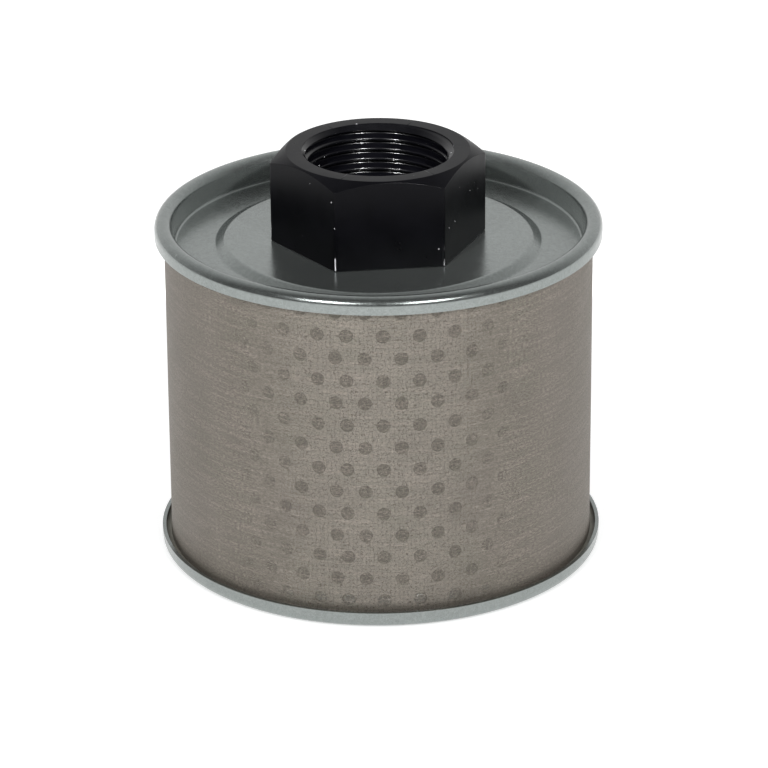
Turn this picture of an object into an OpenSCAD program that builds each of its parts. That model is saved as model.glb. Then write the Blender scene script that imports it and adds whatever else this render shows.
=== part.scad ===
// Canister muffler for compressed-air exhaust, with a female threaded port on top.
// Z runs up along the port axis, and Z = 0 is the plane that the bottom rim stands on.

/* [Canister] */
// Outer diameter of both end caps
cap_d = 98; // [80:0.5:140]
// Height from the resting rim to the crown of the top rim
can_h = 76.3; // [50:0.1:200]

/* [End caps] */
// Thickness of the pressed steel sheet
cap_t = 0.8; // [0.6:0.05:1]
// Width of the rolled rim across both of its legs
rim_w = 3.8; // [3.6:0.1:5]
// Height of the rim's outer leg, from its crown to its free edge
skirt_h = 3.55; // [3:0.05:5.4]
// Depth of the sunk floor below the crown
floor_drop = 5.9; // [5:0.1:9]
// Draft of the rim's inner leg over its height
leg_draft = 0.4; // [0:0.05:0.8]
// Fillet between the inner leg and the floor
floor_fillet = 0.8; // [0.3:0.1:1.5]
// Outer radius of the raised plateau, at the foot of its slope
plateau_r = 35.7; // [32:0.1:38]
// Width of the slope round the plateau
slope_w = 2.2; // [1:0.1:4]
// Height of the plateau above the floor
plateau_h = 1.3; // [0.6:0.1:2.5]

/* [Perforated tube] */
// Thickness of the perforated sheet
core_t = 0.55; // [0.4:0.05:0.7]
// Diameter of each perforation
hole_d = 3; // [2:0.1:3.6]
// Number of perforations in one row
holes_per_row = 38; // [24:2:40]
// Height between neighbouring rows
row_pitch = 5.12; // [4.6:0.02:8]
// Height of the first row above the bottom rim
first_row = 5.5; // [5:0.1:8]
// Solid sheet kept above the last row
row_margin = 0.8; // [0.5:0.1:3]
// Loss of each short feed step where the punching strokes meet
short_step = 1.9; // [0:0.1:2.5]
// Half-step columns at which a short feed step falls
short_steps_at = [24, 30]; // [1:1:75]
// Turn of the first column from the front, in degrees
column_start = -148.4; // [-180:0.1:180]
// Width of the lap strip that closes the tube
lap_w = 12; // [8:0.5:20]
// Thickness of the lap strip
lap_t = 0.5; // [0.3:0.05:0.6]

/* [Wire cloth] */
// Thickness of the coarse support cloth
support_t = 0.2; // [0.15:0.05:0.3]
// Thickness of the fine outer cloth
cloth_t = 0.17; // [0.1:0.01:0.3]
// Slack between wrapped layers
wrap_gap = 0.02; // [0.01:0.01:0.05]
// Width of the cloth's closing seam
seam_w = 8; // [5:0.5:14]
// Thickness of the cloth's closing seam
seam_t = 0.25; // [0.15:0.05:0.4]
// Distance from the seam's ends to the skirts
seam_gap = 0.3; // [0.1:0.1:1]

/* [Bond] */
// Depth of the resin round the tube ends, below the crown's centre
bond_depth = 0.5; // [0.2:0.1:0.8]

/* [Port adapter] */
// Distance across the flats of the hexagon
hex_af = 41; // [38.5:0.5:50]
// Height of the hexagon above the plateau
hex_h = 20; // [16:0.5:30]
// Outer radius of the flat ring on top of the hexagon
ring_r = 20.06; // [18:0.02:20.2]
// Angle of the hexagon's top chamfer
chamfer_a = 30; // [20:1:35]
// Turn of the hexagon about the port axis
hex_turn = 6.8; // [0:0.1:60]
// Wall of the shank outside its thread or its tube seat, whichever is wider
shank_wall = 1.876; // [1.376:0.1:2.276]
// Length of the shank below the hexagon
shank_l = 9.3; // [8:0.1:12]
// Radius of the plain bore below the thread
bore_r = 14.6; // [12:0.1:15]
// Clearance of the shank in the parts it passes through
shank_gap = 0.2; // [0.1:0.05:0.5]

/* [Port thread] */
// Pitch of the parallel pipe thread
pitch = 2.309; // [1.814, 2.117, 2.309]
// Major radius of the thread
major_r = 16.624; // [16.5:0.01:16.7]
// Minor radius of the thread, at its crests
minor_r = 15.146; // [15.1:0.01:15.2]
// Radius of the countersunk mouth
mouth_r = 16.65; // [16.5:0.05:17.2]
// Number of full thread turns
turns = 8; // [5:1:8]
// Half of the thread's included angle
flank_a = 27.5; // [27.5, 30]

/* [Clamp] */
// Outer radius of the flat port gasket
gasket_r = 24; // [22:0.5:28]
// Thickness of the port gasket
gasket_t = 1; // [0.8:0.1:1.5]
// Outer radius of the clamp washer
washer_r = 28; // [25:0.5:30]
// Thickness of the clamp washer
washer_t = 1.5; // [1:0.1:2]
// Outer radius of the round clamp nut
nut_r = 25; // [23:0.5:27]
// Height of the clamp nut
nut_h = 5; // [3:0.5:5.5]
// Width of the clamp nut's spanner slots
slot_w = 5; // [3:0.5:6]
// Depth of the clamp nut's spanner slots
slot_depth = 2.2; // [1:0.1:3]

/* [Diffuser] */
// Outer radius of the diffuser tube
tube_r = 16; // [15.7:0.1:16.4]
// Wall of the diffuser tube
tube_t = 1.1; // [0.6:0.1:1.2]
// Depth of the diffuser tube's seat in the shank
seat_depth = 3; // [2:0.5:5]
// Clearance of the diffuser tube in its two seats
tube_gap = 0.1; // [0.05:0.05:0.2]
// Diameter of each diffuser hole
jet_d = 4; // [2:0.5:5]
// Number of diffuser holes in one row
jets_per_row = 12; // [6:1:12]
// Height between rows of diffuser holes
jet_pitch = 6; // [5.5:0.5:10]
// Plain tube kept beyond the first and last rows
jet_margin = 5; // [4:0.5:10]
// Outer radius of the diffuser cup's foot
foot_r = 22; // [19:0.5:26]
// Thickness of the diffuser cup's sheet
cup_t = 0.8; // [0.5:0.1:1]
// Height of the diffuser cup
cup_h = 4; // [3:0.5:6]
// Thickness of the wire cloth round the diffuser
screen_t = 0.4; // [0.2:0.1:0.6]
// Clearance of the wire cloth from its tube and its neighbours
screen_gap = 0.05; // [0.02:0.01:0.1]

/* [Packing] */
// Radius at which the inner packing meets the outer packing
wrap_r = 31; // [24:0.5:38]
// Thickness of the felt pads
pad_t = 3; // [2:0.5:5]
// Clearance of the soft pieces from each other and from hard pieces
soft_gap = 0.1; // [0.05:0.05:0.3]
// Thickness of the scrim round the packing
scrim_t = 0.2; // [0.1:0.05:0.4]

/* [Hidden] */
$fn = 128;
bite = 1;  // how far a cutter runs past what it cuts
full_turn = 360;

// end-cap profile
cap_r = cap_d / 2;
crown_r = rim_w / 2;
crown_z = can_h - crown_r;
leg_r = cap_r - rim_w;
leg_foot_r = leg_r - leg_draft;
floor_z = can_h - floor_drop;
plateau_z = floor_z + plateau_h;
plateau_in_r = plateau_r - slope_w;
channel_in_r = leg_r + cap_t;
channel_out_r = cap_r - cap_t;
seat_r = tube_r + tube_gap;
shank_r = max(major_r, seat_r) + shank_wall;
hole_r = shank_r + shank_gap;
draft_a = atan(leg_draft / (crown_z - floor_z));
fillet_top_z = floor_z + floor_fillet * (1 - sin(draft_a));
fillet_top_r = leg_foot_r + (fillet_top_z - floor_z) * tan(draft_a);
fillet_mid_r = fillet_top_r - floor_fillet * cos(draft_a);

// wrapped layers, from the inside out
core_in_r = channel_in_r + wrap_gap;
core_out_r = core_in_r + core_t;
support_in_r = core_out_r + wrap_gap;
support_out_r = support_in_r + support_t;
cloth_in_r = support_out_r + wrap_gap;
cloth_out_r = cloth_in_r + cloth_t;
tube_low = crown_r;
tube_high = crown_z;

// perforation pattern
rows = floor((tube_high - row_margin - hole_d / 2 - first_row) / row_pitch) + 1;
half_steps = 2 * holes_per_row;
half_step = (full_turn + short_step * len(short_steps_at)) / half_steps;

// port adapter
hex_r = hex_af / 2 / cos(30);
hex_top = plateau_z + hex_h;
chamfer_r = hex_r + bite;
chamfer_drop = (chamfer_r - ring_r) * tan(chamfer_a);
shank_low = plateau_z - shank_l;
mouth_depth = mouth_r - minor_r;
flank_h = (major_r - minor_r) * tan(flank_a);
land = pitch / 2 - flank_h;
thread_top = hex_top - mouth_depth;
thread_low = thread_top - turns * pitch - land;
seat_z = shank_low + seat_depth;

// clamp stack, from the cap down
gasket_high = plateau_z - cap_t;
washer_high = gasket_high - gasket_t;
nut_high = washer_high - washer_t;

// inside faces of the two caps
inner_floor_low = floor_drop + cap_t;
inner_floor_high = floor_z - cap_t;
inner_plateau_low = floor_drop - plateau_h + cap_t;

// diffuser
cup_high = inner_plateau_low + cup_h;
jet_low = inner_plateau_low + cup_h + jet_margin;
jet_high = shank_low - jet_margin;
jet_rows = floor((jet_high - jet_low) / jet_pitch) + 1;
screen_in_r = tube_r + screen_gap;
screen_out_r = screen_in_r + screen_t;

// packing
pack_low = inner_floor_low + pad_t + soft_gap;
pack_high = inner_floor_high - pad_t - soft_gap;
inner_pack_high = shank_low - soft_gap;
lap_in_r = channel_in_r - lap_t;
scrim_out_r = lap_in_r - screen_gap;
scrim_in_r = scrim_out_r - scrim_t;
pad_out_r = leg_foot_r;

module ring(inner, outer, low, high) {
  translate([0, 0, low])
    difference() {
      cylinder(h = high - low, r = outer);
      translate([0, 0, -bite])
        cylinder(h = high - low + 2 * bite, r = inner);
    }
}

// A rectangle in the (radius, height) plane
module strip(r_low, r_high, z_low, z_high) {
  translate([r_low, z_low])
    square([r_high - r_low, z_high - z_low]);
}

// Half profile of one end cap, from the radius of its centre hole outward
module cap_profile(inner) {
  mid_leg_r = leg_foot_r + cap_t / 2;
  // rolled rim: a solid crown and legs, less the channel inside them
  difference() {
    union() {
      translate([cap_r - crown_r, crown_z])
        circle(r = crown_r);
      polygon([
        [leg_foot_r, floor_z],
        [leg_foot_r, floor_z - cap_t],
        [cap_r, floor_z - cap_t],
        [cap_r, crown_z],
        [leg_r, crown_z]
      ]);
    }
    translate([cap_r - crown_r, crown_z])
      circle(r = crown_r - cap_t);
    polygon([
      [leg_foot_r + cap_t, floor_z],
      [leg_foot_r + cap_t, floor_z - rim_w],
      [channel_out_r, floor_z - rim_w],
      [channel_out_r, crown_z],
      [channel_in_r, crown_z]
    ]);
    strip(cap_r - crown_r, cap_r + bite, floor_z - rim_w, can_h - skirt_h);
  }
  // fillet between the inner leg and the floor
  difference() {
    polygon([
      [fillet_mid_r, floor_z],
      [fillet_mid_r, floor_z - cap_t / 2],
      [mid_leg_r, floor_z - cap_t / 2],
      [mid_leg_r, fillet_top_z],
      [fillet_top_r, fillet_top_z]
    ]);
    translate([fillet_mid_r, floor_z + floor_fillet])
      circle(r = floor_fillet);
  }
  // floor, slope and plateau
  polygon([
    [inner, plateau_z - cap_t],
    [plateau_in_r, plateau_z - cap_t],
    [plateau_r, floor_z - cap_t],
    [mid_leg_r, floor_z - cap_t],
    [mid_leg_r, floor_z],
    [plateau_r, floor_z],
    [plateau_in_r, plateau_z],
    [inner, plateau_z]
  ]);
}

module top_cap() {
  color("#a9b1b5")
    rotate_extrude()
      cap_profile(hole_r);
}

module bottom_cap() {
  color("#a3aaae")
    translate([0, 0, can_h])
      mirror([0, 0, 1])
        rotate_extrude()
          cap_profile(0);
}

// Resin ring that fills the crown round the tube ends
module bond_ring() {
  rotate_extrude()
    difference() {
      union() {
        translate([cap_r - crown_r, crown_z])
          circle(r = crown_r - cap_t);
        strip(cap_r - crown_r, channel_out_r, crown_z - bond_depth, crown_z);
      }
      strip(leg_r, cloth_out_r, crown_z - rim_w, crown_z);
      strip(leg_r, cap_r, crown_z - rim_w, crown_z - bond_depth);
    }
}

module top_bond() {
  color("#5b5a52")
    bond_ring();
}

module bottom_bond() {
  color("#5b5a52")
    translate([0, 0, can_h])
      mirror([0, 0, 1])
        bond_ring();
}

// Azimuth of one half-step column, counted from the front towards +X
function column_angle(column) =
  column_start + column * half_step
  - short_step * len([for (s = short_steps_at) if (column >= s) s]);

module perforated_core() {
  color("#77716a")
    difference() {
      ring(core_in_r, core_out_r, tube_low, tube_high);
      for (row = [0 : rows - 1], i = [0 : holes_per_row - 1])
        rotate([0, 0, column_angle(2 * i + row % 2) - 90])
          translate([core_in_r - bite, 0, first_row + row * row_pitch])
            rotate([0, 90, 0])
              cylinder(h = core_t + 2 * bite, d = hole_d);
    }
}

// Part of a ring that spans a stated width at the back
module back_strip(inner, outer, width, low, high) {
  intersection() {
    ring(inner, outer, low, high);
    translate([-width / 2, 0, low])
      cube([width, outer + bite, high - low]);
  }
}

module core_seam() {
  color("#77716a")
    back_strip(lap_in_r, channel_in_r, lap_w,
      inner_floor_low + soft_gap, inner_floor_high - soft_gap);
}

module support_mesh() {
  color("#8c867c")
    ring(support_in_r, support_out_r, tube_low, tube_high);
}

module outer_mesh() {
  color("#968e85")
    ring(cloth_in_r, cloth_out_r, tube_low, tube_high);
}

module mesh_seam() {
  color("#8a8279")
    back_strip(cloth_out_r, cloth_out_r + seam_t, seam_w,
      skirt_h + seam_gap, can_h - skirt_h - seam_gap);
}

// Half profile of the threaded bore that is cut from the adapter
module bore_profile() {
  grooves = [for (n = [0 : turns - 1])
    let (z = thread_top - land - n * pitch)
      each [
        [minor_r, z],
        [major_r, z - flank_h],
        [major_r, z - flank_h - land],
        [minor_r, z - 2 * flank_h - land]
      ]
  ];
  polygon(concat(
    [[0, hex_top + bite], [mouth_r + bite, hex_top + bite], [minor_r, thread_top]],
    grooves,
    [[minor_r, thread_low], [bore_r, thread_low - abs(minor_r - bore_r)]],
    [[bore_r, seat_z], [seat_r, seat_z], [seat_r, shank_low - bite], [0, shank_low - bite]]
  ));
}

module port_adapter() {
  color("#1d1d20")
    difference() {
      union() {
        intersection() {
          rotate([0, 0, hex_turn])
            translate([0, 0, plateau_z])
              cylinder(h = hex_h + bite, r = hex_r, $fn = 6);
          rotate_extrude()
            polygon([
              [0, plateau_z - bite],
              [chamfer_r, plateau_z - bite],
              [chamfer_r, hex_top - chamfer_drop],
              [ring_r, hex_top],
              [0, hex_top]
            ]);
        }
        translate([0, 0, shank_low])
          cylinder(h = shank_l + bite, r = shank_r);
      }
      rotate_extrude()
        bore_profile();
    }
}

module port_gasket() {
  color("#6d2f26")
    ring(hole_r, gasket_r, washer_high, gasket_high);
}

module clamp_washer() {
  color("#b3b6b8")
    ring(hole_r, washer_r, nut_high, washer_high);
}

module clamp_nut() {
  color("#b3b6b8")
    difference() {
      ring(shank_r + shank_gap / 2, nut_r, nut_high - nut_h, nut_high);
      for (a = [0 : 90 : 270])
        rotate([0, 0, a])
          translate([nut_r - slot_depth, -slot_w / 2, nut_high - nut_h - bite])
            cube([slot_depth + bite, slot_w, nut_h + 2 * bite]);
    }
}

module diffuser_tube() {
  color("#9da2a4")
    difference() {
      ring(tube_r - tube_t, tube_r, inner_plateau_low + cup_t, seat_z);
      for (row = [0 : jet_rows - 1], i = [0 : jets_per_row - 1])
        rotate([0, 0, (i + (row % 2) / 2) * full_turn / jets_per_row])
          translate([tube_r - tube_t - bite, 0, jet_low + row * jet_pitch])
            rotate([0, 90, 0])
              cylinder(h = tube_t + 2 * bite, d = jet_d);
    }
}

module diffuser_cup() {
  color("#a3aaae")
    rotate_extrude() {
      strip(0, foot_r, inner_plateau_low, inner_plateau_low + cup_t);
      strip(seat_r, seat_r + cup_t, inner_plateau_low, cup_high);
    }
}

module diffuser_screen() {
  color("#b9b3a6")
    ring(screen_in_r, screen_out_r, cup_high + soft_gap, shank_low - soft_gap);
}

module inner_packing() {
  color("#e4dcc3")
    ring(screen_out_r + soft_gap, wrap_r - soft_gap / 2, pack_low, inner_pack_high);
}

module outer_packing() {
  color("#ded3b4")
    ring(wrap_r + soft_gap / 2, scrim_in_r - soft_gap, pack_low, pack_high);
}

module packing_screen() {
  color("#d8d8d2")
    ring(scrim_in_r, scrim_out_r, inner_floor_low + soft_gap, inner_floor_high - soft_gap);
}

module top_pad() {
  color("#8b8a84")
    ring(washer_r + soft_gap, pad_out_r, pack_high + soft_gap, inner_floor_high);
}

module bottom_pad() {
  color("#8b8a84")
    ring(foot_r + soft_gap, pad_out_r, inner_floor_low, pack_low - soft_gap);
}

port_adapter();
port_gasket();
clamp_washer();
clamp_nut();
top_cap();
bottom_cap();
top_bond();
bottom_bond();
perforated_core();
core_seam();
support_mesh();
outer_mesh();
mesh_seam();
diffuser_tube();
diffuser_cup();
diffuser_screen();
inner_packing();
outer_packing();
packing_screen();
top_pad();
bottom_pad();
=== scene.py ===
"""Canister muffler for compressed-air exhaust, with a female threaded port on top."""

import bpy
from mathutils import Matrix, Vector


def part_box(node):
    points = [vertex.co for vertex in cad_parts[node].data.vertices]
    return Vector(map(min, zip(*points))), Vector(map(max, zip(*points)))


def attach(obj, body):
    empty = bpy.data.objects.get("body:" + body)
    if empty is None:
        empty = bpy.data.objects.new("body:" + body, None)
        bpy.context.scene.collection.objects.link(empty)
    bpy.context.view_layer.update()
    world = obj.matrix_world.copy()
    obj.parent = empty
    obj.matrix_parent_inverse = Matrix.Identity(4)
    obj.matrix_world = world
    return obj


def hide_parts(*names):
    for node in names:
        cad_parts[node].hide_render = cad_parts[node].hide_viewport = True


bl_info = {
    "name": "Canister muffler",
    "version": (1, 0, 0),
    "blender": (4, 5, 0),
    "location": "View3D > Sidebar > Muffler",
    "description": "Builds a wire-cloth canister muffler and its studio stage",
    "category": "Object",
}

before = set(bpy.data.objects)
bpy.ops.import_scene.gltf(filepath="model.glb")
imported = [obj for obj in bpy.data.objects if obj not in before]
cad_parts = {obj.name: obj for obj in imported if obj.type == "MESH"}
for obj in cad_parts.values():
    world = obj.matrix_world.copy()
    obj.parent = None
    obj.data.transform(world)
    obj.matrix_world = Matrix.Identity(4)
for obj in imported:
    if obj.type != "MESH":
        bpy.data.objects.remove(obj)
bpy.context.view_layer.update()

import math

import bmesh
import bpy
from mathutils import Matrix, Vector, noise

TURN = 2 * math.pi
SHARP_ANGLE = math.radians(38)

# Whitworth thread form: half angle, rounding radius and depth as shares of the pitch
FLANK_ANGLE = math.radians(27.5)
ROUNDING_SHARE = 0.137329
DEPTH_SHARE = 0.640327

# Where the lamps stand, for the right side; the left side is its mirror
SOFTBOX_PLACE = (0.5, -1.05, 0.80)
SOFTBOX_SIZE = (0.45, 0.24)
SOFTBOX_POWER = 5.0
SNOOT_PLACE = (0.54, -0.95, 0.88)
SNOOT_POWER = 170.0


def low(node):
    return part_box(node)[0].z


def high(node):
    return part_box(node)[1].z


def radius(node):
    lowest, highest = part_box(node)
    return (highest.x - lowest.x) / 2


# ---------------------------------------------------------------- settings


class MufflerPortSettings(bpy.types.PropertyGroup):
    """Sizes and finish of the port nut."""

    across_flats: bpy.props.FloatProperty(
        name="Across flats", description="Spanner size of the hexagon",
        default=0.041, unit="LENGTH", subtype="DISTANCE",
    )
    hexagon_height: bpy.props.FloatProperty(
        name="Hexagon height", description="Height of the hexagon above the cap",
        default=0.020, unit="LENGTH", subtype="DISTANCE",
    )
    hexagon_turn: bpy.props.FloatProperty(
        name="Hexagon turn", description="Turn of the hexagon about the port axis",
        default=math.radians(6.8), subtype="ANGLE",
    )
    corner_round: bpy.props.FloatProperty(
        name="Corner rounding", description="Radius of the hexagon's upright edges",
        default=0.0005, unit="LENGTH", subtype="DISTANCE",
    )
    ring_radius: bpy.props.FloatProperty(
        name="Ring radius", description="Outer radius of the flat ring on top",
        default=0.02006, unit="LENGTH", subtype="DISTANCE",
    )
    chamfer_angle: bpy.props.FloatProperty(
        name="Chamfer angle", description="Slope of the hexagon's top chamfer",
        default=math.radians(30), subtype="ANGLE",
    )
    mouth_radius: bpy.props.FloatProperty(
        name="Mouth radius", description="Radius of the countersunk mouth",
        default=0.01665, unit="LENGTH", subtype="DISTANCE",
    )
    minor_radius: bpy.props.FloatProperty(
        name="Minor radius", description="Radius of the thread's crests",
        default=0.015146, unit="LENGTH", subtype="DISTANCE",
    )
    thread_pitch: bpy.props.FloatProperty(
        name="Thread pitch", description="Distance between neighbouring crests",
        default=0.002309, unit="LENGTH", subtype="DISTANCE",
    )
    thread_turns: bpy.props.IntProperty(
        name="Thread turns", description="Number of full turns of thread", default=8,
    )
    shank_radius: bpy.props.FloatProperty(
        name="Shank radius", description="Outer radius of the shank below the cap",
        default=0.0185, unit="LENGTH", subtype="DISTANCE",
    )
    bore_radius: bpy.props.FloatProperty(
        name="Bore radius", description="Radius of the plain bore below the thread",
        default=0.0146, unit="LENGTH", subtype="DISTANCE",
    )
    seat_radius: bpy.props.FloatProperty(
        name="Seat radius", description="Radius of the seat for the diffuser tube",
        default=0.0161, unit="LENGTH", subtype="DISTANCE",
    )
    seat_depth: bpy.props.FloatProperty(
        name="Seat depth", description="Depth of the seat for the diffuser tube",
        default=0.003, unit="LENGTH", subtype="DISTANCE",
    )
    anodise_colour: bpy.props.FloatVectorProperty(
        name="Anodised colour", description="Colour of the black anodised surface",
        default=(0.0012, 0.0012, 0.0018), size=3, subtype="COLOR",
    )


class MufflerCapSettings(bpy.types.PropertyGroup):
    """Sizes and finish of the two pressed end caps."""

    sheet: bpy.props.FloatProperty(
        name="Sheet", description="Thickness of the pressed steel",
        default=0.0008, unit="LENGTH", subtype="DISTANCE",
    )
    rim_width: bpy.props.FloatProperty(
        name="Rim width", description="Width of the rolled rim across both legs",
        default=0.0038, unit="LENGTH", subtype="DISTANCE",
    )
    skirt_height: bpy.props.FloatProperty(
        name="Skirt height", description="Height of the rim's outer leg",
        default=0.00355, unit="LENGTH", subtype="DISTANCE",
    )
    floor_drop: bpy.props.FloatProperty(
        name="Floor drop", description="Depth of the sunk floor below the crown",
        default=0.0059, unit="LENGTH", subtype="DISTANCE",
    )
    leg_draft: bpy.props.FloatProperty(
        name="Leg draft", description="Draft of the rim's inner leg",
        default=0.0004, unit="LENGTH", subtype="DISTANCE",
    )
    plateau_radius: bpy.props.FloatProperty(
        name="Plateau radius", description="Outer radius of the raised plateau",
        default=0.0357, unit="LENGTH", subtype="DISTANCE",
    )
    slope_width: bpy.props.FloatProperty(
        name="Slope width", description="Width of the slope round the plateau",
        default=0.0022, unit="LENGTH", subtype="DISTANCE",
    )
    plateau_height: bpy.props.FloatProperty(
        name="Plateau height", description="Height of the plateau above the floor",
        default=0.0013, unit="LENGTH", subtype="DISTANCE",
    )
    hole_radius: bpy.props.FloatProperty(
        name="Hole radius", description="Radius of the top cap's centre hole",
        default=0.0187, unit="LENGTH", subtype="DISTANCE",
    )
    zinc_colour: bpy.props.FloatVectorProperty(
        name="Zinc colour", description="Colour of the zinc-plated steel",
        default=(0.295, 0.320, 0.311), size=3, subtype="COLOR",
    )


class MufflerClothSettings(bpy.types.PropertyGroup):
    """Weave and finish of the wire cloth and of the perforated tube under it."""

    fine_pitch: bpy.props.FloatProperty(
        name="Fine pitch", description="Distance between the fine cloth's wires",
        default=0.00017, unit="LENGTH", subtype="DISTANCE",
    )
    coarse_pitch: bpy.props.FloatProperty(
        name="Coarse pitch", description="Distance between the support cloth's wires",
        default=0.0009, unit="LENGTH", subtype="DISTANCE",
    )
    wire_share: bpy.props.FloatProperty(
        name="Wire share", description="Wire diameter as a share of the fine pitch",
        default=0.36, subtype="FACTOR",
    )
    wire_colour: bpy.props.FloatVectorProperty(
        name="Wire colour", description="Colour of the stainless wire",
        default=(0.385, 0.341, 0.295), size=3, subtype="COLOR",
    )
    core_colour: bpy.props.FloatVectorProperty(
        name="Tube colour", description="Colour of the perforated steel sheet",
        default=(0.78, 0.73, 0.66), size=3, subtype="COLOR",
    )
    weld_pitch: bpy.props.FloatProperty(
        name="Weld pitch", description="Distance between the seam's spot welds",
        default=0.0048, unit="LENGTH", subtype="DISTANCE",
    )


class MufflerStageSettings(bpy.types.PropertyGroup):
    """Camera and floor."""

    lens: bpy.props.FloatProperty(
        name="Lens", description="Focal length of the camera, in millimetres",
        default=205.5,
    )
    distance: bpy.props.FloatProperty(
        name="Distance", description="Distance of the camera from its target",
        default=0.9737, unit="LENGTH", subtype="DISTANCE",
    )
    elevation: bpy.props.FloatProperty(
        name="Elevation", description="Height of the camera above the horizon",
        default=math.radians(23.249), subtype="ANGLE",
    )
    roll: bpy.props.FloatProperty(
        name="Roll", description="Tilt of the camera about its own axis",
        default=math.radians(-0.424), subtype="ANGLE",
    )
    target: bpy.props.FloatVectorProperty(
        name="Target", description="Point that the camera looks at",
        default=(0.00096, 0.0, 0.03619), size=3, unit="LENGTH", subtype="XYZ",
    )
    floor_size: bpy.props.FloatProperty(
        name="Floor size", description="Side of the square floor",
        default=8.0, unit="LENGTH", subtype="DISTANCE",
    )


SETTINGS = {
    "muffler_port": MufflerPortSettings,
    "muffler_caps": MufflerCapSettings,
    "muffler_cloth": MufflerClothSettings,
    "muffler_stage": MufflerStageSettings,
}


# ---------------------------------------------------------------- mesh code


def new_piece(name, mesh, replaced):
    """Adds a mesh as a piece of the muffler, in place of CAD nodes."""
    piece = bpy.data.objects.new(name, mesh)
    bpy.context.scene.collection.objects.link(piece)
    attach(piece, "root")
    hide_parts(*replaced)
    return piece


def mesh_from(name, points, faces):
    mesh = bpy.data.meshes.new(name)
    mesh.from_pydata(points, [], faces)
    work = bmesh.new()
    work.from_mesh(mesh)
    bmesh.ops.remove_doubles(work, verts=work.verts, dist=2e-8)
    bmesh.ops.dissolve_degenerate(work, edges=work.edges, dist=1e-9)
    bmesh.ops.recalc_face_normals(work, faces=work.faces)
    work.to_mesh(mesh)
    work.free()
    mesh.shade_smooth()
    mesh.set_sharp_from_angle(angle=SHARP_ANGLE)
    return mesh


def swept_grid(name, angles, rows):
    """A body swept round Z: rows[i](angle) gives (radius, height)."""
    points, faces = [], []
    for angle in angles:
        c, s = math.cos(angle), math.sin(angle)
        for row in rows:
            r, z = row(angle)
            points.append((r * c, r * s, z))
    count = len(rows)
    for i in range(len(angles) - 1):
        for j in range(count):
            k = (j + 1) % count
            a, b = i * count, (i + 1) * count
            faces.append((a + j, b + j, b + k, a + k))
    return mesh_from(name, points, faces)


def lathe(name, profile, steps):
    angles = [TURN * i / steps for i in range(steps + 1)]
    rows = [lambda angle, p=p: p for p in profile]
    return swept_grid(name, angles, rows)


def rounded(path, steps=8):
    """Points along a path of (x, y, radius), with each corner rounded by its radius."""
    out = []
    for i, (x, y, r) in enumerate(path):
        here = Vector((x, y))
        if i in (0, len(path) - 1) or r <= 0:
            out.append(here)
            continue
        before = Vector(path[i - 1][:2]) - here
        after = Vector(path[i + 1][:2]) - here
        half = before.angle(after) / 2
        back = r / math.tan(half)
        middle = here + (before.normalized() + after.normalized()).normalized() * (
            r / math.sin(half)
        )
        start = here + before.normalized() * back - middle
        end = here + after.normalized() * back - middle
        sweep = start.angle_signed(end)
        for k in range(steps + 1):
            turn = Matrix.Rotation(-sweep * k / steps, 2)
            out.append(middle + turn @ start)
    return out


def thickened(path, thickness):
    """A closed profile of a sheet whose middle follows the path."""
    left, right = [], []
    for i, here in enumerate(path):
        a = path[max(i - 1, 0)]
        b = path[min(i + 1, len(path) - 1)]
        along = (b - a).normalized()
        side = Vector((-along.y, along.x)) * thickness / 2
        left.append(here + side)
        right.append(here - side)
    return [tuple(p) for p in left] + [tuple(p) for p in reversed(right)]


# ------------------------------------------------------------- shader nodes


class Tree:
    """Short calls for laying out a node tree."""

    def __init__(self, tree):
        self.tree = tree

    def add(self, kind, inputs=None, **values):
        node = self.tree.nodes.new(kind)
        for key, value in values.items():
            setattr(node, key, value)
        for key, value in (inputs or {}).items():
            if isinstance(value, bpy.types.NodeSocket):
                self.tree.links.new(value, node.inputs[key])
            else:
                node.inputs[key].default_value = value
        return node

    def math(self, operation, a, b=0.0, clamp=False):
        node = self.add("ShaderNodeMath", {0: a, 1: b}, operation=operation)
        node.use_clamp = clamp
        return node.outputs[0]

    def noise(self, vector, scale, detail=3.0, rough=0.5, **more):
        node = self.add(
            "ShaderNodeTexNoise",
            {"Vector": vector, "Scale": scale, "Detail": detail, "Roughness": rough},
            **more,
        )
        return node.outputs["Fac"]

    def remap(self, value, low_in, high_in, low_out=0.0, high_out=1.0):
        node = self.add(
            "ShaderNodeMapRange",
            {
                "Value": value, "From Min": low_in, "From Max": high_in,
                "To Min": low_out, "To Max": high_out,
            },
        )
        return node.outputs["Result"]

    def blend(self, factor, a, b, how="MIX"):
        node = self.add("ShaderNodeMix", data_type="RGBA", blend_type=how)
        for key, value in ((0, factor), (6, a), (7, b)):
            if isinstance(value, bpy.types.NodeSocket):
                self.tree.links.new(value, node.inputs[key])
            elif key == 0:
                node.inputs[key].default_value = value
            else:
                node.inputs[key].default_value = (*value[:3], 1.0)
        return node.outputs[2]

    def scaled(self, vector, factors):
        node = self.add(
            "ShaderNodeVectorMath", {0: vector, 1: factors}, operation="MULTIPLY"
        )
        return node.outputs[0]


def new_group(name, inputs, outputs):
    """A shader node group with named sockets, and the Tree to fill it."""
    group = bpy.data.node_groups.new(name, "ShaderNodeTree")
    for label, kind, default in inputs:
        socket = group.interface.new_socket(label, in_out="INPUT", socket_type=kind)
        if default is not None:
            socket.default_value = default
    for label, kind in outputs:
        group.interface.new_socket(label, in_out="OUTPUT", socket_type=kind)
    t = Tree(group)
    source = t.add("NodeGroupInput").outputs
    result = t.add("NodeGroupOutput").inputs
    return group, t, source, result


def put(t, result, label, socket):
    t.tree.links.new(socket, result[label])


VALUE, VECTOR, COLOUR = "NodeSocketFloat", "NodeSocketVector", "NodeSocketColor"


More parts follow.
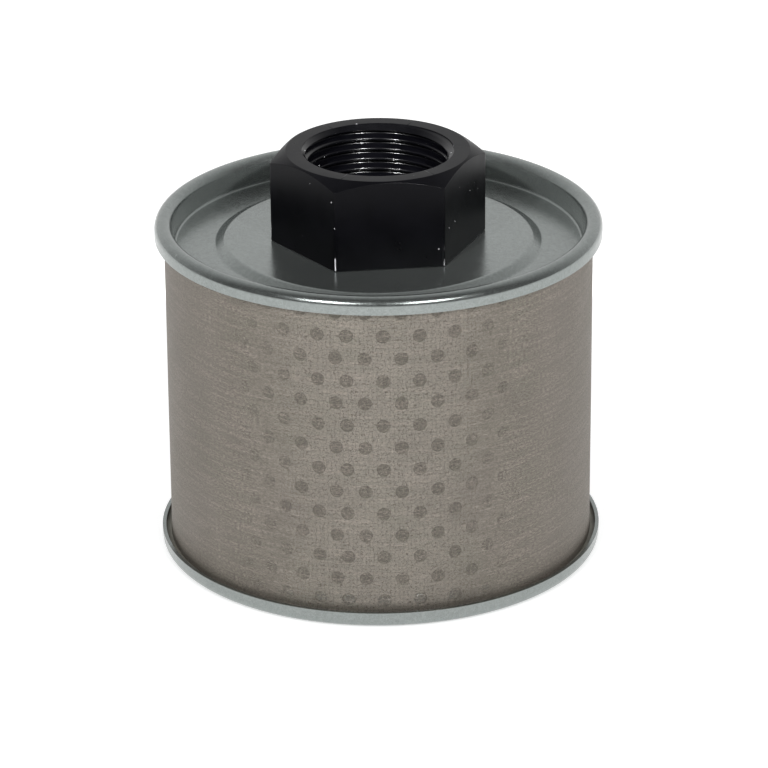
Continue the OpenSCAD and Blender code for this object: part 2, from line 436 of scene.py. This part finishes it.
def unrolled_group():
    """Arc length round Z and height, so that a pattern can lie on a cylinder."""
    group, t, source, result = new_group(
        "Unrolled surface",
        [("Position", VECTOR, None), ("Radius", VALUE, 0.047)],
        [("Around", VALUE), ("Up", VALUE)],
    )
    parts = t.add("ShaderNodeSeparateXYZ", {0: source["Position"]}).outputs
    turned = t.math("MULTIPLY", parts["Y"], -1.0)
    angle = t.math("ARCTAN2", parts["X"], turned)
    put(t, result, "Around", t.math("MULTIPLY", angle, source["Radius"]))
    put(t, result, "Up", parts["Z"])
    return group


def weave_group():
    """Plain weave of round wires: where wire lies, which way it runs, and how high."""
    group, t, source, result = new_group(
        "Plain weave",
        [("Unrolled", VECTOR, None), ("Pitch", VALUE, 0.0004), ("Wire share", VALUE, 0.45)],
        [("Cover", VALUE), ("Height", VALUE), ("Warp", VALUE)],
    )
    parts = t.add("ShaderNodeSeparateXYZ", {0: source["Unrolled"]}).outputs
    u = t.math("DIVIDE", parts["X"], source["Pitch"])
    v = t.math("DIVIDE", parts["Y"], source["Pitch"])

    def wire(across, along, other):
        """Height of one set of wires, which crosses over and under the other set."""
        offset = t.math("SUBTRACT", t.math("FRACT", across), 0.5)
        near = t.math("DIVIDE", t.math("ABSOLUTE", offset),
                      t.math("MULTIPLY", source["Wire share"], 0.5))
        body = t.math("SUBTRACT", 1.0, near, clamp=True)
        parity = t.math("MODULO", t.math("FLOOR", across), 2.0)
        side = t.math("SUBTRACT", t.math("MULTIPLY", t.math("ABSOLUTE", parity), 2.0), 1.0)
        wave = t.math("SINE", t.math("MULTIPLY", along, math.pi))
        lift = t.math("MULTIPLY", t.math("MULTIPLY", wave, side), other)
        return body, lift

    warp, warp_lift = wire(u, v, 0.5)
    weft, weft_lift = wire(v, u, -0.5)
    warp_on = t.math("GREATER_THAN", warp, 0.0)
    weft_on = t.math("GREATER_THAN", weft, 0.0)
    warp_high = t.math("MULTIPLY", t.math("ADD", t.math("SQRT", warp), warp_lift), warp_on)
    weft_high = t.math("MULTIPLY", t.math("ADD", t.math("SQRT", weft), weft_lift), weft_on)
    put(t, result, "Cover", t.math("MAXIMUM", warp_on, weft_on))
    put(t, result, "Height", t.math("MAXIMUM", warp_high, weft_high))
    put(t, result, "Warp", t.math("GREATER_THAN", warp_high, weft_high))
    return group


def streak_group():
    """Soft streaks along one way of the surface, over a broad mottle."""
    group, t, source, result = new_group(
        "Streaks and mottle",
        [
            ("Surface", VECTOR, None), ("Along", VECTOR, (1.0, 1.0, 1.0)),
            ("Streak scale", VALUE, 600.0), ("Mottle scale", VALUE, 60.0),
        ],
        [("Streaks", VALUE), ("Mottle", VALUE)],
    )
    stretched = t.add("ShaderNodeVectorMath",
                      {0: source["Surface"], 1: source["Along"]}, operation="MULTIPLY")
    put(t, result, "Streaks", t.noise(stretched.outputs[0], source["Streak scale"], 4.0, 0.6))
    put(t, result, "Mottle", t.noise(source["Surface"], source["Mottle scale"], 5.0, 0.6))
    return group


def speck_group():
    """Sparse bright specks, as dust and tiny nicks leave."""
    group, t, source, result = new_group(
        "Specks",
        [("Surface", VECTOR, None), ("Scale", VALUE, 900.0), ("Share", VALUE, 0.05)],
        [("Specks", VALUE)],
    )
    cells = t.add("ShaderNodeTexVoronoi",
                  {"Vector": source["Surface"], "Scale": source["Scale"]})
    chosen = t.add("ShaderNodeSeparateColor", {0: cells.outputs["Color"]}).outputs[0]
    pick = t.math("LESS_THAN", chosen, source["Share"])
    dot = t.remap(cells.outputs["Distance"], 0.16, 0.30, 1.0, 0.0)
    put(t, result, "Specks", t.math("MULTIPLY", pick, dot, clamp=True))
    return group


def spangle_group():
    """Fine crystal mottle of zinc plating."""
    group, t, source, result = new_group(
        "Zinc spangle",
        [("Surface", VECTOR, None), ("Grain", VALUE, 1500.0)],
        [("Tone", VALUE), ("Gloss", VALUE), ("Height", VALUE)],
    )
    grain = t.add("ShaderNodeTexVoronoi",
                  {"Vector": source["Surface"], "Scale": source["Grain"]})
    tone = t.add("ShaderNodeSeparateColor", {0: grain.outputs["Color"]}).outputs
    cloud = t.noise(source["Surface"], 90.0, 5.0, 0.62)
    fine = t.noise(source["Surface"], 2600.0, 2.0, 0.5)
    mixed = t.math("ADD", t.math("MULTIPLY", tone[0], 0.35), t.math("MULTIPLY", cloud, 0.65))
    put(t, result, "Tone", mixed)
    put(t, result, "Gloss", t.math("ADD", t.math("MULTIPLY", tone[1], 0.5),
                                   t.math("MULTIPLY", cloud, 0.5)))
    put(t, result, "Height", t.math("ADD", t.math("MULTIPLY", fine, 0.6),
                                    t.math("MULTIPLY", tone[2], 0.4)))
    return group


def wear_group():
    """Patchy bare metal on upright corners, near the foot of the hexagon."""
    group, t, source, result = new_group(
        "Corner wear",
        [
            ("Surface", VECTOR, None), ("Corner radius", VALUE, 0.0236),
            ("Band", VALUE, 0.00005), ("Foot", VALUE, 0.0745), ("Patches", VALUE, 260.0),
        ],
        [("Wear", VALUE)],
    )
    parts = t.add("ShaderNodeSeparateXYZ", {0: source["Surface"]}).outputs
    flat = t.add("ShaderNodeCombineXYZ", {0: parts["X"], 1: parts["Y"], 2: 0.0}).outputs[0]
    reach = t.add("ShaderNodeVectorMath", {0: flat}, operation="LENGTH").outputs["Value"]
    inner = t.math("SUBTRACT", source["Corner radius"], source["Band"])
    on_corner = t.remap(reach, inner, source["Corner radius"], 0.0, 1.0)
    foot_top = t.math("ADD", source["Foot"], 0.002)
    near_foot = t.remap(parts["Z"], source["Foot"], foot_top, 1.0, 0.0)
    patch = t.remap(t.noise(source["Surface"], source["Patches"], 3.0), 0.49, 0.57)
    put(t, result, "Wear", t.math("MULTIPLY", t.math("MULTIPLY", on_corner, near_foot), patch))
    return group


GROUPS = {
    "wear": wear_group,
    "unrolled": unrolled_group,
    "weave": weave_group,
    "streaks": streak_group,
    "specks": speck_group,
    "spangle": spangle_group,
}
built_groups = {}


def use_group(t, key, inputs):
    """Places a shared effect in a material, building it on first use."""
    if key not in built_groups:
        built_groups[key] = GROUPS[key]()
    return t.add("ShaderNodeGroup", inputs, node_tree=built_groups[key]).outputs


def new_material(name):
    material = bpy.data.materials.new(name)
    material.use_nodes = True
    material.node_tree.nodes.clear()
    t = Tree(material.node_tree)
    out = t.add("ShaderNodeOutputMaterial")
    shader = t.add("ShaderNodeBsdfPrincipled")
    material.node_tree.links.new(shader.outputs[0], out.inputs["Surface"])
    where = t.add("ShaderNodeTexCoord").outputs["Object"]
    return material, t, shader, where


def wire_in(t, shader, **sockets):
    for label, socket in sockets.items():
        key = label.replace("_", " ")
        if isinstance(socket, bpy.types.NodeSocket):
            t.tree.links.new(socket, shader.inputs[key])
        else:
            shader.inputs[key].default_value = socket


def bump(t, height, distance, strength=1.0):
    return t.add("ShaderNodeBump",
                 {"Height": height, "Distance": distance, "Strength": strength}).outputs[0]


def shade(colour, factor):
    return tuple(c * factor for c in colour)


def zinc_material(name, colour):
    material, t, shader, where = new_material(name)
    spangle = use_group(t, "spangle", {"Surface": where})
    tone = t.blend(t.remap(spangle["Tone"], 0.25, 0.75), shade(colour, 0.92), shade(colour, 1.08))
    specks = use_group(t, "specks", {"Surface": where, "Scale": 900.0, "Share": 0.012})
    tone = t.blend(t.math("MULTIPLY", specks["Specks"], 0.5), tone, shade(colour, 1.9))
    grit = t.noise(where, 3000.0, 2.0, 0.7)
    tone = t.blend(t.remap(grit, 0.35, 0.6, 0.35, 0.0), tone, shade(colour, 0.55))
    wire_in(
        t, shader, Base_Color=tone, Metallic=0.9,
        Roughness=t.remap(spangle["Gloss"], 0.2, 0.8, 0.19, 0.27),
        Normal=bump(t, spangle["Height"], 0.000005, 0.25),
    )
    return material


def anodised_material(name, colour, corner, specular, rough):
    material, t, shader, where = new_material(name)
    streaks = use_group(t, "streaks", {
        "Surface": where, "Along": (1.0, 1.0, 6.0), "Streak scale": 700.0, "Mottle scale": 140.0})
    tone = t.blend(t.remap(streaks["Mottle"], 0.3, 0.7), shade(colour, 0.75), shade(colour, 1.35))
    specks = use_group(t, "specks", {"Surface": where, "Scale": 1700.0, "Share": 0.006})
    wear = use_group(t, "wear", {"Surface": where, "Corner radius": corner})
    tone = t.blend(t.math("MAXIMUM", specks["Specks"], wear["Wear"]), tone, (0.5, 0.5, 0.52))
    wire_in(
        t, shader, Base_Color=tone, Metallic=0.0, Specular_IOR_Level=specular,
        Roughness=t.remap(streaks["Mottle"], 0.25, 0.75, rough, rough + 0.1),
        Normal=bump(t, streaks["Streaks"], 0.000006, 0.6),
    )
    return material


def cloth_material(name, settings, pitch, share, around, opening=0.0, dim=1.0):
    """Woven stainless wire; its openings show what lies behind, and its colour carries painted
    shade towards the sides.
    """
    material, t, shader, where = new_material(name)
    flat = use_group(t, "unrolled", {"Position": where, "Radius": around})
    unrolled = t.add("ShaderNodeCombineXYZ", {0: flat["Around"], 1: flat["Up"]}).outputs[0]
    facing = t.add("ShaderNodeLayerWeight", {"Blend": 0.5}).outputs["Facing"]
    closed = t.remap(facing, 0.14, 0.44, opening, 0.95)
    wander = t.add("ShaderNodeTexNoise", {"Vector": unrolled, "Scale": 1100.0, "Detail": 2.0})
    wander = t.scaled(wander.outputs["Color"], (pitch * 2.2, pitch * 2.2, 0.0))
    moved = t.add("ShaderNodeVectorMath", {0: unrolled, 1: wander}, operation="ADD").outputs[0]
    weave = use_group(t, "weave", {"Unrolled": moved, "Pitch": pitch, "Wire share": share})
    streaks = use_group(t, "streaks", {
        "Surface": unrolled, "Along": (0.06, 1.0, 1.0), "Streak scale": 1300.0,
        "Mottle scale": 55.0})
    grain = t.noise(t.scaled(unrolled, (0.4, 1.0, 1.0)), 3300.0, 2.0, 0.7)
    patch = t.noise(t.scaled(unrolled, (1.0, 0.3, 1.0)), 85.0, 3.0, 0.6)
    colour = shade(settings.wire_colour, dim)
    cool = (colour[0] * 0.90, colour[1] * 1.0, colour[2] * 0.92)
    tone = t.blend(t.remap(streaks["Mottle"], 0.3, 0.7), shade(colour, 0.86), shade(cool, 1.16))
    tone = t.blend(t.remap(patch, 0.35, 0.65, 0.0, 0.3), tone, shade(colour, 0.55))
    tone = t.blend(t.remap(streaks["Streaks"], 0.42, 0.66, 0.0, 0.9), tone, shade(colour, 1.5))
    tone = t.blend(t.remap(grain, 0.38, 0.62, 0.0, 1.0), shade(colour, 0.52), tone)
    # Painted shade: the wire colour darkens to 0.42 of itself as the surface turns away from the
    # viewer, so the can's sides render darker.
    tone = t.blend(t.remap(facing, 0.12, 0.5, 0.0, 0.62), tone, shade(colour, 0.42))
    tone = t.blend(t.math("MULTIPLY", weave["Warp"], 0.2), tone, shade(colour, 0.7))
    wire_in(
        t, shader, Base_Color=tone, Metallic=0.55,
        Roughness=t.remap(streaks["Mottle"], 0.3, 0.7, 0.5, 0.62),
        Alpha=t.math("MAXIMUM", weave["Cover"], closed),
        Normal=bump(t, weave["Height"], pitch * 0.2, 0.6),
    )
    return material


def sheet_material(name, colour, rough=(0.36, 0.5), along=(1.0, 1.0, 8.0)):
    """Rolled steel sheet with its drawing marks."""
    material, t, shader, where = new_material(name)
    streaks = use_group(t, "streaks", {
        "Surface": where, "Along": along, "Streak scale": 500.0, "Mottle scale": 90.0})
    tone = t.blend(t.remap(streaks["Mottle"], 0.3, 0.7), shade(colour, 0.85), shade(colour, 1.12))
    wire_in(
        t, shader, Base_Color=tone, Metallic=0.9,
        Roughness=t.remap(streaks["Streaks"], 0.3, 0.7, *rough),
        Normal=bump(t, streaks["Streaks"], 0.00001, 0.5),
    )
    return material


def soft_material(name, colour, fibre=1400.0, rough=0.95):
    """Matt felt, fibre, gasket sheet or resin with a fine tangled surface."""
    material, t, shader, where = new_material(name)
    streaks = use_group(t, "streaks", {
        "Surface": where, "Along": (1.0, 0.35, 1.0), "Streak scale": fibre, "Mottle scale": 160.0})
    tone = t.blend(t.remap(streaks["Streaks"], 0.3, 0.7), shade(colour, 0.7), shade(colour, 1.2))
    wire_in(
        t, shader, Base_Color=tone,
        Roughness=t.remap(streaks["Mottle"], 0.3, 0.7, rough - 0.08, rough),
        Normal=bump(t, streaks["Streaks"], 0.0002, 0.7),
    )
    return material


def finish_node(node, material):
    """Gives a CAD node that keeps its shape its finish."""
    mesh_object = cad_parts[node]
    mesh_object.data.materials.clear()
    mesh_object.data.materials.append(material)


# ------------------------------------------------------------------ pieces


class MUFFLER_OT_port_nut(bpy.types.Operator):
    """Builds the black hexagonal port nut with its helical pipe thread"""

    bl_idname = "muffler.port_nut"
    bl_label = "Port nut"

    def execute(self, context):
        s = context.scene.muffler_port
        top = high("port_adapter")
        seat = top - s.hexagon_height
        shank_end = low("port_adapter")
        apothem = s.across_flats / 2
        sector = TURN / 6
        corner_mid = (apothem - s.corner_round) / math.cos(sector / 2)

        def hexagon(angle):
            """Radius of the hexagon, with rounded upright edges."""
            turn = (angle - s.hexagon_turn) % sector
            from_corner = min(turn, sector - turn)
            flat = apothem / math.cos(sector / 2 - from_corner)
            inside = s.corner_round**2 - (corner_mid * math.sin(from_corner)) ** 2
            if inside <= 0:
                return flat
            return min(flat, corner_mid * math.cos(from_corner) + math.sqrt(inside))

        slope = math.tan(s.chamfer_angle)

        def chamfer_top(angle, inset=0.0):
            r = hexagon(angle) - inset
            return r, top - (r - s.ring_radius) * slope

        # thread: rounded crests and roots, joined by straight flanks
        pitch = s.thread_pitch
        arc_r = ROUNDING_SHARE * pitch
        arc_half = arc_r * math.cos(FLANK_ANGLE)
        arc_rise = arc_r * (1 - math.sin(FLANK_ANGLE))
        depth = DEPTH_SHARE * pitch
        thread_top = top - (s.mouth_radius - s.minor_radius)
        thread_low = thread_top - s.thread_turns * pitch - 0.0004

        def thread_radius(phase):
            """Radius at a height, as a share of one pitch from a crest."""
            d = abs((phase + 0.5) % 1.0 - 0.5) * pitch
            if d <= arc_half:
                return s.minor_radius + arc_r - math.sqrt(arc_r**2 - d**2)
            if d >= pitch / 2 - arc_half:
                e = pitch / 2 - d
                return s.minor_radius + depth - arc_r + math.sqrt(arc_r**2 - e**2)
            share = (d - arc_half) / (pitch / 2 - 2 * arc_half)
            return s.minor_radius + arc_rise + share * (depth - 2 * arc_rise)

        half_steps = [0.0, 0.04, 0.08, arc_half / pitch, 0.2, 0.25, 0.3,
                      0.5 - arc_half / pitch, 0.42, 0.46]
        steps = half_steps + [0.5] + [1 - x for x in reversed(half_steps[1:])]
        lip = 0.00006
        ceiling, bottom = top - lip, thread_low

        def thread_row(turn, phase):
            def row(angle):
                z = thread_top + (1 - turn - phase) * pitch + pitch * (angle / TURN - 1)
                z_held = min(max(z, bottom), ceiling)
                r = thread_radius((z_held - thread_top - pitch * angle / TURN) / pitch)
                r = max(r, s.minor_radius + z_held - thread_top)
                if z_held <= bottom:
                    r = s.minor_radius
                return r, z_held
            return row

        def fixed(r, z):
            return lambda angle: (r, z)

        edge = 0.00025
        rows = [
            fixed(s.seat_radius, shank_end),
            fixed(s.shank_radius - edge, shank_end),
            fixed(s.shank_radius, shank_end + edge),
            fixed(s.shank_radius, seat),
            lambda angle: (hexagon(angle) - edge, seat),
            lambda angle: (hexagon(angle) - edge * 0.3, seat + edge * 0.3),
            lambda angle: (hexagon(angle), seat + edge),
            lambda angle: (hexagon(angle), chamfer_top(angle)[1] - lip),
            lambda angle: chamfer_top(angle, lip),
            fixed(s.ring_radius + lip, top - lip * slope),
            fixed(s.ring_radius - lip, top),
            fixed(s.mouth_radius + lip, top),
        ]
        turns = s.thread_turns + 3
        rows += [thread_row(turn - 1, phase) for turn in range(turns) for phase in steps]
        rows += [
            fixed(s.bore_radius, bottom - (s.minor_radius - s.bore_radius)),
            fixed(s.bore_radius, shank_end + s.seat_depth),
            fixed(s.seat_radius, shank_end + s.seat_depth),
        ]
        spread = [math.sin(math.pi / 2 * k / 14) for k in range(-14, 15)]
        angles = sorted({
            round(s.hexagon_turn + sector * (side + 0.5 + x / 2), 9)
            for side in range(6) for x in spread
        })
        last = s.hexagon_turn + TURN
        angles = [a for a in angles if a < last - 1e-6] + [last]
        mesh = swept_grid("PortNut", angles, rows)
        corner = corner_mid + s.corner_round
        for name, specular, rough in (
            ("Black anodised aluminium", 0.10, 0.26), ("Black anodised thread", 0.42, 0.16),
        ):
            mesh.materials.append(
                anodised_material(name, s.anodise_colour, corner, specular, rough)
            )
        for face in mesh.polygons:
            x, y, z = face.center
            in_bore = math.hypot(x, y) < s.mouth_radius and bottom < z < top - 2 * lip
            face.material_index = 1 if in_bore else 0
        nut = new_piece("PortNut", mesh, ["port_adapter"])
        nut.modifiers.new("Even shading", "WEIGHTED_NORMAL").keep_sharp = True
        return {"FINISHED"}


class MUFFLER_OT_end_caps(bpy.types.Operator):
    """Builds the two pressed end caps with their rolled rims"""

    bl_idname = "muffler.end_caps"
    bl_label = "End caps"

    def execute(self, context):
        s = context.scene.muffler_caps
        half = s.sheet / 2
        crown = s.rim_width / 2
        metal = zinc_material("Zinc-plated steel", s.zinc_colour)
        for name, node, up in (("TopCap", "top_cap", 1), ("BottomCap", "bottom_cap", -1)):
            rim = radius(node)
            level = high(node) if up > 0 else low(node)
            foot = rim - s.rim_width - s.leg_draft + half
            floor = -s.floor_drop - half
            plateau = floor + s.plateau_height
            inner = s.hole_radius if up > 0 else 0.0
            path = [
                (rim - half, -s.skirt_height, 0),
                (rim - half, 0 - half, crown - half),
                (rim - s.rim_width + half, 0 - half, crown - half),
                (foot, floor, 0.0011),
                (s.plateau_radius, floor, 0.0016),
                (s.plateau_radius - s.slope_width, plateau, 0.0013),
                (inner, plateau, 0),
            ]
            profile = thickened(rounded(path, 9), s.sheet)
            profile = [(max(r, 0.0), level + up * z) for r, z in profile]
            mesh = lathe(name, profile, 320)
            mesh.materials.append(metal)
            new_piece(name, mesh, [node])
        for node in ("clamp_washer", "clamp_nut", "diffuser_cup"):
            finish_node(node, metal)
        return {"FINISHED"}


class MUFFLER_OT_wire_cloth(bpy.types.Operator):
    """Wraps the can in its two layers of wire cloth and closes the outer one"""

    bl_idname = "muffler.wire_cloth"
    bl_label = "Wire cloth"

    def execute(self, context):
        s = context.scene.muffler_cloth
        outer = radius("outer_mesh")
        fine = cloth_material("Fine wire cloth", s, s.fine_pitch, s.wire_share, outer)
        self.wrap("OuterCloth", "outer_mesh", outer - 0.00003, fine)
        inner = radius("support_mesh")
        coarse = cloth_material("Coarse wire cloth", s, s.coarse_pitch, 0.12, inner, dim=1.2)
        self.wrap("SupportCloth", "support_mesh", inner - 0.0001, coarse)
        lapped = cloth_material("Lapped wire cloth", s, s.fine_pitch, s.wire_share, outer,
                                opening=0.6, dim=1.05)
        self.seam(s, outer, lapped)
        return {"FINISHED"}

    def wrap(self, name, node, r, material):
        bottom, top = low(node), high(node)
        steps, levels = 256, 36
        points, faces = [], []
        for j in range(levels + 1):
            z = bottom + (top - bottom) * j / levels
            for i in range(steps):
                angle = TURN * i / steps
                spot = Vector((math.cos(angle) * 2.2, math.sin(angle) * 2.2, z * 45))
                rr = r - 0.00003 * (1 + noise.noise(spot))
                points.append((rr * math.cos(angle), rr * math.sin(angle), z))
        for j in range(levels):
            for i in range(steps):
                k = (i + 1) % steps
                a, b = j * steps, (j + 1) * steps
                faces.append((a + i, a + k, b + k, b + i))
        mesh = mesh_from(name, points, faces)
        mesh.materials.append(material)
        new_piece(name, mesh, [node])

    def seam(self, s, r, material):
        """The lapped strip at the back, with its row of spot welds."""
        lowest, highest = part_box("mesh_seam")
        width = highest.x - lowest.x
        thick = 0.00022
        columns, levels = 24, int((highest.z - lowest.z) / 0.0004)
        points, faces = [], []
        for j in range(levels + 1):
            z = lowest.z + (highest.z - lowest.z) * j / levels
            for i in range(columns + 1):
                x = -width / 2 + width * i / columns
                rise = thick * min(1.0, min(i, columns - i) / 1.5)
                along = (z / s.weld_pitch) % 1.0 - 0.5
                apart = math.hypot(x, along * s.weld_pitch)
                rise -= 0.00016 * math.exp(-((apart / 0.0007) ** 2))
                angle = math.pi / 2 + x / r
                rr = r + rise
                points.append((rr * math.cos(angle), rr * math.sin(angle), z))
        for j in range(levels):
            for i in range(columns):
                a = j * (columns + 1) + i
                faces.append((a, a + 1, a + columns + 2, a + columns + 1))
        mesh = mesh_from("ClothSeam", points, faces)
        mesh.materials.append(material)
        new_piece("ClothSeam", mesh, ["mesh_seam"])


class MUFFLER_OT_core(bpy.types.Operator):
    """Finishes the perforated tube, its lap strip and the diffuser tube"""

    bl_idname = "muffler.core"
    bl_label = "Perforated tubes"

    def execute(self, context):
        s = context.scene.muffler_cloth
        sheet = sheet_material("Perforated steel sheet", s.core_colour)
        for node in ("perforated_core", "core_seam"):
            finish_node(node, sheet)
        finish_node("diffuser_tube", sheet_material("Diffuser steel", (0.42, 0.43, 0.43)))
        finish_node("diffuser_screen", sheet_material("Screen wire", (0.3, 0.29, 0.26)))
        return {"FINISHED"}


class MUFFLER_OT_filling(bpy.types.Operator):
    """Finishes the resin, the gasket, the fibre, the scrim and the felt"""

    bl_idname = "muffler.filling"
    bl_label = "Filling and seals"

    def execute(self, context):
        finishes = {
            "Cast resin": ((0.26, 0.25, 0.21), 500.0, 0.6, ("top_bond", "bottom_bond")),
            "Fibre gasket": ((0.20, 0.06, 0.045), 900.0, 0.8, ("port_gasket",)),
            "Acoustic fibre": ((0.68, 0.62, 0.48), 700.0, 0.98, ("inner_packing", "outer_packing")),
            # The scrim's near-black colour is painted shade: it darkens the tube's holes seen
            # through the cloth, standing in for the shade behind them.
            "Scrim blackened as painted shade": ((0.02, 0.02, 0.02), 1600.0, 0.9, ("packing_screen",)),
            "Grey felt": ((0.24, 0.24, 0.22), 1100.0, 0.97, ("top_pad", "bottom_pad")),
        }
        for name, (colour, fibre, rough, nodes) in finishes.items():
            material = soft_material(name, colour, fibre, rough)
            for node in nodes:
                finish_node(node, material)
        return {"FINISHED"}


class MUFFLER_OT_stage(bpy.types.Operator):
    """Sets up the floor, the lamps, the white surroundings and the camera"""

    bl_idname = "muffler.stage"
    bl_label = "Stage"

    def execute(self, context):
        s = context.scene.muffler_stage
        scene = context.scene
        scene.view_settings.view_transform = "Standard"
        self.surroundings(scene)
        self.floor(scene, s)
        for name, side in (("LeftSoftbox", -1), ("RightSoftbox", 1)):
            x, y, z = SOFTBOX_PLACE
            self.lamp(name, (side * x, y, z), (0.0, 0.0, 0.06), SOFTBOX_SIZE, SOFTBOX_POWER)
        for name, side in (("LeftSnoot", -1), ("RightSnoot", 1)):
            x, y, z = SNOOT_PLACE
            self.snoot(name, (side * x, y, z), (0.0, 0.008, 0.088))
        self.camera(scene, s)
        return {"FINISHED"}

    def surroundings(self, scene):
        world = bpy.data.worlds.new("White studio")
        world.use_nodes = True
        scene.world = world
        t = Tree(world.node_tree)
        world.node_tree.nodes.clear()
        path = t.add("ShaderNodeLightPath").outputs
        way = t.add("ShaderNodeSeparateXYZ",
                    {0: t.add("ShaderNodeTexCoord").outputs["Generated"]}).outputs["Y"]
        diffuse = t.remap(way, -0.75, 0.25, 0.56, 0.62)
        glossy = t.remap(way, -0.1, 0.85, 0.05, 0.78)
        backdrop = t.math("MAXIMUM", path["Is Camera Ray"], path["Is Transmission Ray"])
        lit = t.math("ADD", t.math("MULTIPLY", glossy, path["Is Glossy Ray"]),
                     t.math("MULTIPLY", diffuse, path["Is Diffuse Ray"]))
        strength = t.math("MAXIMUM", backdrop, lit)
        back = t.add("ShaderNodeBackground", {"Color": (1, 1, 1, 1), "Strength": strength})
        out = t.add("ShaderNodeOutputWorld")
        world.node_tree.links.new(back.outputs[0], out.inputs["Surface"])

    def floor(self, scene, s):
        half = s.floor_size / 2
        mesh = bpy.data.meshes.new("Floor")
        mesh.from_pydata([(-half, -half, 0), (half, -half, 0), (half, half, 0), (-half, half, 0)],
                         [], [(0, 1, 2, 3)])
        floor = bpy.data.objects.new("Floor", mesh)
        scene.collection.objects.link(floor)
        floor.location.z = -0.0002
        material, t, shader, where = new_material("White floor")
        grain = t.noise(where, 30.0, 3.0)
        wire_in(t, shader, Base_Color=t.blend(t.remap(grain, 0.3, 0.7), (0.86, 0.86, 0.86),
                                              (0.88, 0.88, 0.88)),
                Roughness=0.9)
        path = t.add("ShaderNodeLightPath").outputs
        seen = t.math("MAXIMUM", path["Is Camera Ray"], path["Is Glossy Ray"])
        seen = t.math("MAXIMUM", seen, path["Is Transmission Ray"])
        wire_in(t, shader, Emission_Color=(1, 1, 1, 1),
                Emission_Strength=t.remap(seen, 0.0, 1.0, 0.3, 0.5))
        mesh.materials.append(material)

    def lamp(self, name, place, aim, size, power):
        data = bpy.data.lights.new(name, "AREA")
        data.shape = "RECTANGLE"
        data.size, data.size_y = size
        data.energy = power
        lamp = bpy.data.objects.new(name, data)
        lamp.location = place
        lamp.rotation_euler = (Vector(aim) - Vector(place)).to_track_quat("-Z", "Y").to_euler()
        bpy.context.scene.collection.objects.link(lamp)

    def snoot(self, name, place, aim):
        """A narrow spot lamp aimed into the port's mouth."""
        data = bpy.data.lights.new(name, "SPOT")
        data.spot_size, data.spot_blend = math.radians(2.4), 0.5
        data.shadow_soft_size = 0.03
        data.energy = SNOOT_POWER
        lamp = bpy.data.objects.new(name, data)
        lamp.location = place
        lamp.rotation_euler = (Vector(aim) - Vector(place)).to_track_quat("-Z", "Y").to_euler()
        bpy.context.scene.collection.objects.link(lamp)

    def camera(self, scene, s):
        data = bpy.data.cameras.new("Camera")
        data.sensor_width = 36.0
        data.lens = s.lens
        data.clip_start, data.clip_end = 0.05, 50.0
        camera = bpy.data.objects.new("Camera", data)
        target = Vector(s.target)
        back = Vector((0.0, -math.cos(s.elevation), math.sin(s.elevation)))
        camera.location = target + back * s.distance
        aim = (-back).to_track_quat("-Z", "Y").to_matrix()
        camera.rotation_euler = (aim @ Matrix.Rotation(s.roll, 3, "Z")).to_euler()
        scene.collection.objects.link(camera)
        scene.camera = camera


OPERATORS = (
    MUFFLER_OT_port_nut,
    MUFFLER_OT_end_caps,
    MUFFLER_OT_wire_cloth,
    MUFFLER_OT_core,
    MUFFLER_OT_filling,
    MUFFLER_OT_stage,
)


class MUFFLER_PT_panel(bpy.types.Panel):
    """Lists the muffler's builders and their settings"""

    bl_idname = "MUFFLER_PT_panel"
    bl_label = "Canister muffler"
    bl_space_type = "VIEW_3D"
    bl_region_type = "UI"
    bl_category = "Muffler"

    def draw(self, context):
        for operator in OPERATORS:
            self.layout.operator(operator.bl_idname)
        for label, group in SETTINGS.items():
            box = self.layout.box()
            box.label(text=group.__doc__)
            for key in group.__annotations__:
                box.prop(getattr(context.scene, label), key)


CLASSES = (*SETTINGS.values(), *OPERATORS, MUFFLER_PT_panel)


def register():
    for item in CLASSES:
        bpy.utils.register_class(item)
    for label, group in SETTINGS.items():
        setattr(bpy.types.Scene, label, bpy.props.PointerProperty(type=group))


def unregister():
    for label in SETTINGS:
        delattr(bpy.types.Scene, label)
    for item in reversed(CLASSES):
        bpy.utils.unregister_class(item)


def main():
    register()
    for operator in OPERATORS:
        area, call = operator.bl_idname.split(".")
        getattr(getattr(bpy.ops, area), call)()


if __name__ == "__main__":
    main()
